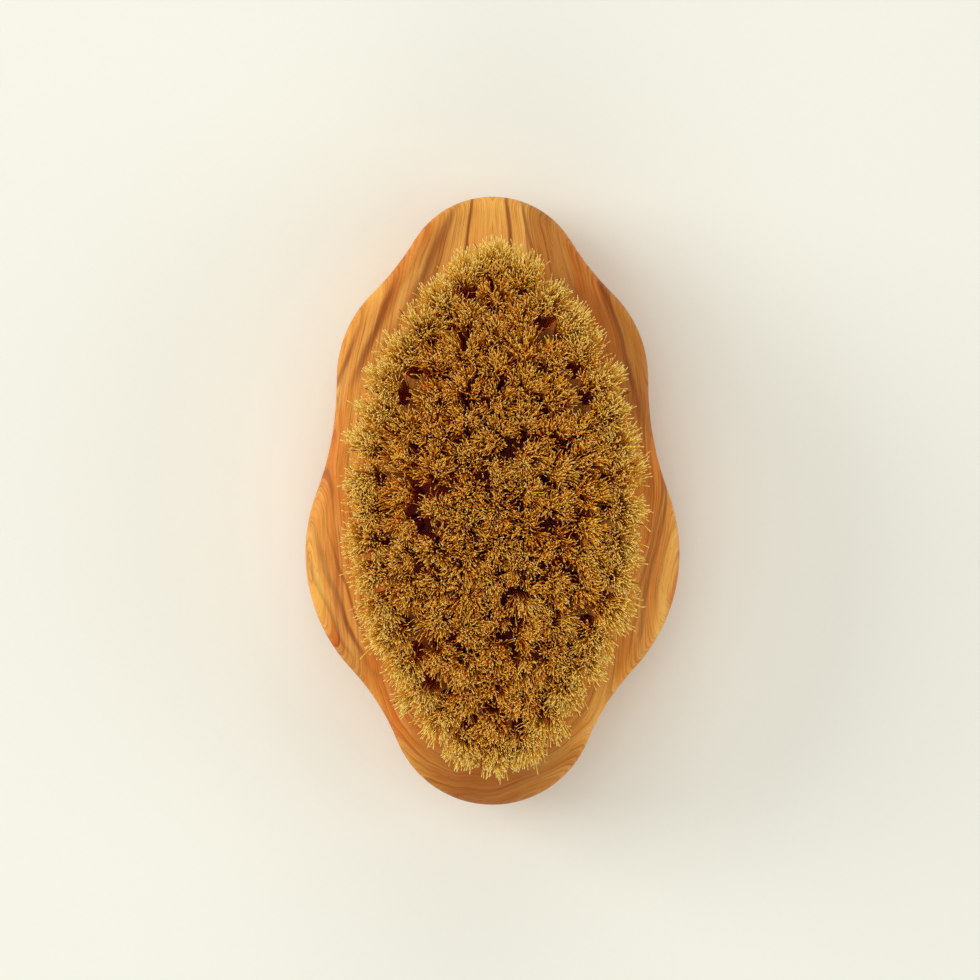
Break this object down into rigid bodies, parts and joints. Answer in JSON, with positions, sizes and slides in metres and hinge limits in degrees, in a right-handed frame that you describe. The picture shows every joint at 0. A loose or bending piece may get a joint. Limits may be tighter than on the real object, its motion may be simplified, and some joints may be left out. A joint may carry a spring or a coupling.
{
  "type": "body dry brush",
  "caption": "Palm-held dry body brush: a wavy-edged olive wood block with splayed tufts of natural bristle, each pinned in its hole by a flat wire anchor.",
  "frame": {"origin": "centre of the block's footprint, on the flat of its back", "axes": "+Z from the back to the bristle tips, +Y along the block to its narrower nose lobe, +X across it"},
  "size_m": [0.08, 0.13, 0.0442],
  "materials": {
    "olive_wood": "satin",
    "bristle": "matte",
    "anchor_wire": "satin"
  },
  "bodies": {
    "root": {"handle_block": "olive_wood", "tufts_border_nose": "bristle", "tufts_border_tail": "bristle", "tufts_border_left": "bristle", "tufts_border_right": "bristle", "tufts_row_1": "bristle", "tufts_row_2": "bristle", "tufts_row_3": "bristle", "tufts_row_4": "bristle", "tufts_row_5": "bristle", "tufts_row_6": "bristle", "tufts_row_7": "bristle", "anchors_border_nose": "anchor_wire", "anchors_border_tail": "anchor_wire", "anchors_border_left": "anchor_wire", "anchors_border_right": "anchor_wire", "anchors_row_1": "anchor_wire", "anchors_row_2": "anchor_wire", "anchors_row_3": "anchor_wire", "anchors_row_4": "anchor_wire", "anchors_row_5": "anchor_wire", "anchors_row_6": "anchor_wire", "anchors_row_7": "anchor_wire"}
  },
  "joints": []
}
